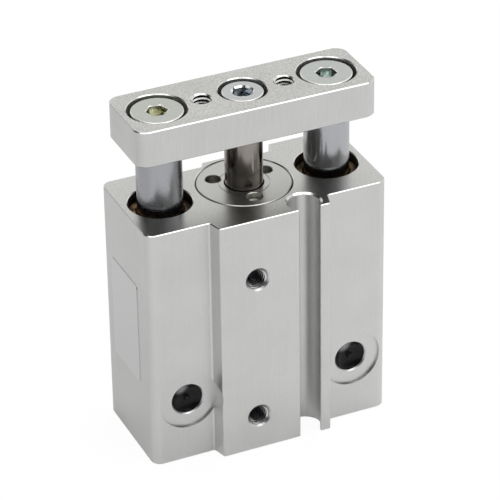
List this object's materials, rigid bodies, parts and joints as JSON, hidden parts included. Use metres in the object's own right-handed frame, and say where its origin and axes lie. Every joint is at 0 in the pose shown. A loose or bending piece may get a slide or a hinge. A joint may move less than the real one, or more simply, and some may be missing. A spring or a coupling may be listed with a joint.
{
  "type": "guided pneumatic cylinder",
  "caption": "Compact guided pneumatic cylinder: an aluminium block with an air piston between guide rods that carry a flat end plate, with plugged ports, a switch groove and threaded holes.",
  "frame": {"origin": "on the piston's axis, in the flat bottom face of the body", "axes": "+Z is the way the end plate extends; +X runs from the left guide rod to the right one; the face with the ports and the switch groove looks towards -Y. The plate is stored retracted."},
  "size_m": [0.0339, 0.0175, 0.0484],
  "materials": {
    "anodised_aluminium": "clear anodised, satin",
    "plate_aluminium": "clear anodised, satin",
    "cover_aluminium": "clear anodised, satin",
    "bearing_bronze": "sintered, oily",
    "nitrile_rubber": "smooth",
    "urethane": "smooth",
    "ball_steel": "polished",
    "label_film": "silver film, bare",
    "stainless_steel": "ground and polished",
    "hard_chrome": "hard chromed, polished",
    "zinc_plated_steel": "bright zinc",
    "piston_aluminium": "turned",
    "bonded_magnet": "matt",
    "plug_plastic": "glossy"
  },
  "bodies": {
    "cylinder": {"body": "anodised_aluminium", "rod_cover": "cover_aluminium", "rod_cover_o_ring": "nitrile_rubber", "rod_bush": "bearing_bronze", "rod_seal": "nitrile_rubber", "rod_side_bumper": "urethane", "head_cover": "cover_aluminium", "head_cover_o_ring": "nitrile_rubber", "head_side_bumper": "urethane", "air_passage_ball": "ball_steel", "rating_label": "label_film", "guide_bush_left": "bearing_bronze", "guide_bush_right": "bearing_bronze", "port_plug_left": "plug_plastic", "port_plug_right": "plug_plastic"},
    "plate": {"end_plate": "plate_aluminium", "piston_rod": "stainless_steel", "piston_rod_screw": "zinc_plated_steel", "piston": "piston_aluminium", "piston_seal": "nitrile_rubber", "piston_magnet": "bonded_magnet", "magnet_holder": "piston_aluminium", "guide_rod_left": "hard_chrome", "guide_rod_right": "hard_chrome", "guide_rod_screw_left": "zinc_plated_steel", "guide_rod_screw_right": "zinc_plated_steel"}
  },
  "joints": [
    {"name": "plate_slide", "type": "slide", "parent": "cylinder", "child": "plate", "axis": [0, 0, 1], "range_m": [0, 0.015]}
  ]
}
